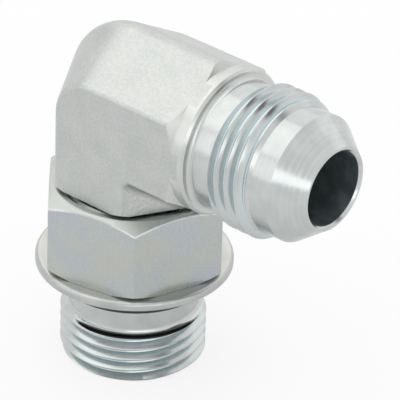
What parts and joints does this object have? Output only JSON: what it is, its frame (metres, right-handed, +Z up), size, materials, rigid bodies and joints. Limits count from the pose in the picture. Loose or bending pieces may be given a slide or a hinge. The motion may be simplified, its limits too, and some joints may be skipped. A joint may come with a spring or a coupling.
{
  "type": "hydraulic elbow adapter",
  "caption": "Right-angle hydraulic adapter: a forged elbow with a flare end on one leg and an adjustable straight-thread stud with lock nut, back-up washer and O-ring on the other.",
  "frame": {"origin": "middle of the stud's end face, where the flow bore opens", "axes": "+Z up the stud, +X out along the flare leg, the forging's side pads face -Y and +Y"},
  "size_m": [0.0449, 0.0258, 0.0474],
  "materials": {
    "zinc_plated_forging": "satin zinc plate over a forged skin, brighter on the turned ends",
    "zinc_plated_bar": "satin zinc plate",
    "zinc_plated_sheet": "satin zinc plate",
    "nitrile_rubber": "black moulded rubber, slightly shiny from its grease"
  },
  "bodies": {
    "elbow": {"elbow_body": "zinc_plated_forging"},
    "washer": {"backup_washer": "zinc_plated_sheet", "port_o_ring": "nitrile_rubber"},
    "nut": {"lock_nut": "zinc_plated_bar"}
  },
  "joints": [
    {"name": "washer_slide", "type": "slide", "parent": "elbow", "child": "washer", "axis": [0, 0, 1], "range_m": [-0.00397, 0]},
    {"name": "nut_turn", "type": "hinge", "parent": "washer", "child": "nut", "pos_m": [0, 0, 0.01984], "axis": [0, 0, 1], "range_deg": [-900, 0]}
  ],
  "couplings": [
    {"joint": "nut_turn", "follows": "washer_slide", "rad_per_m": 3957.9}
  ]
}
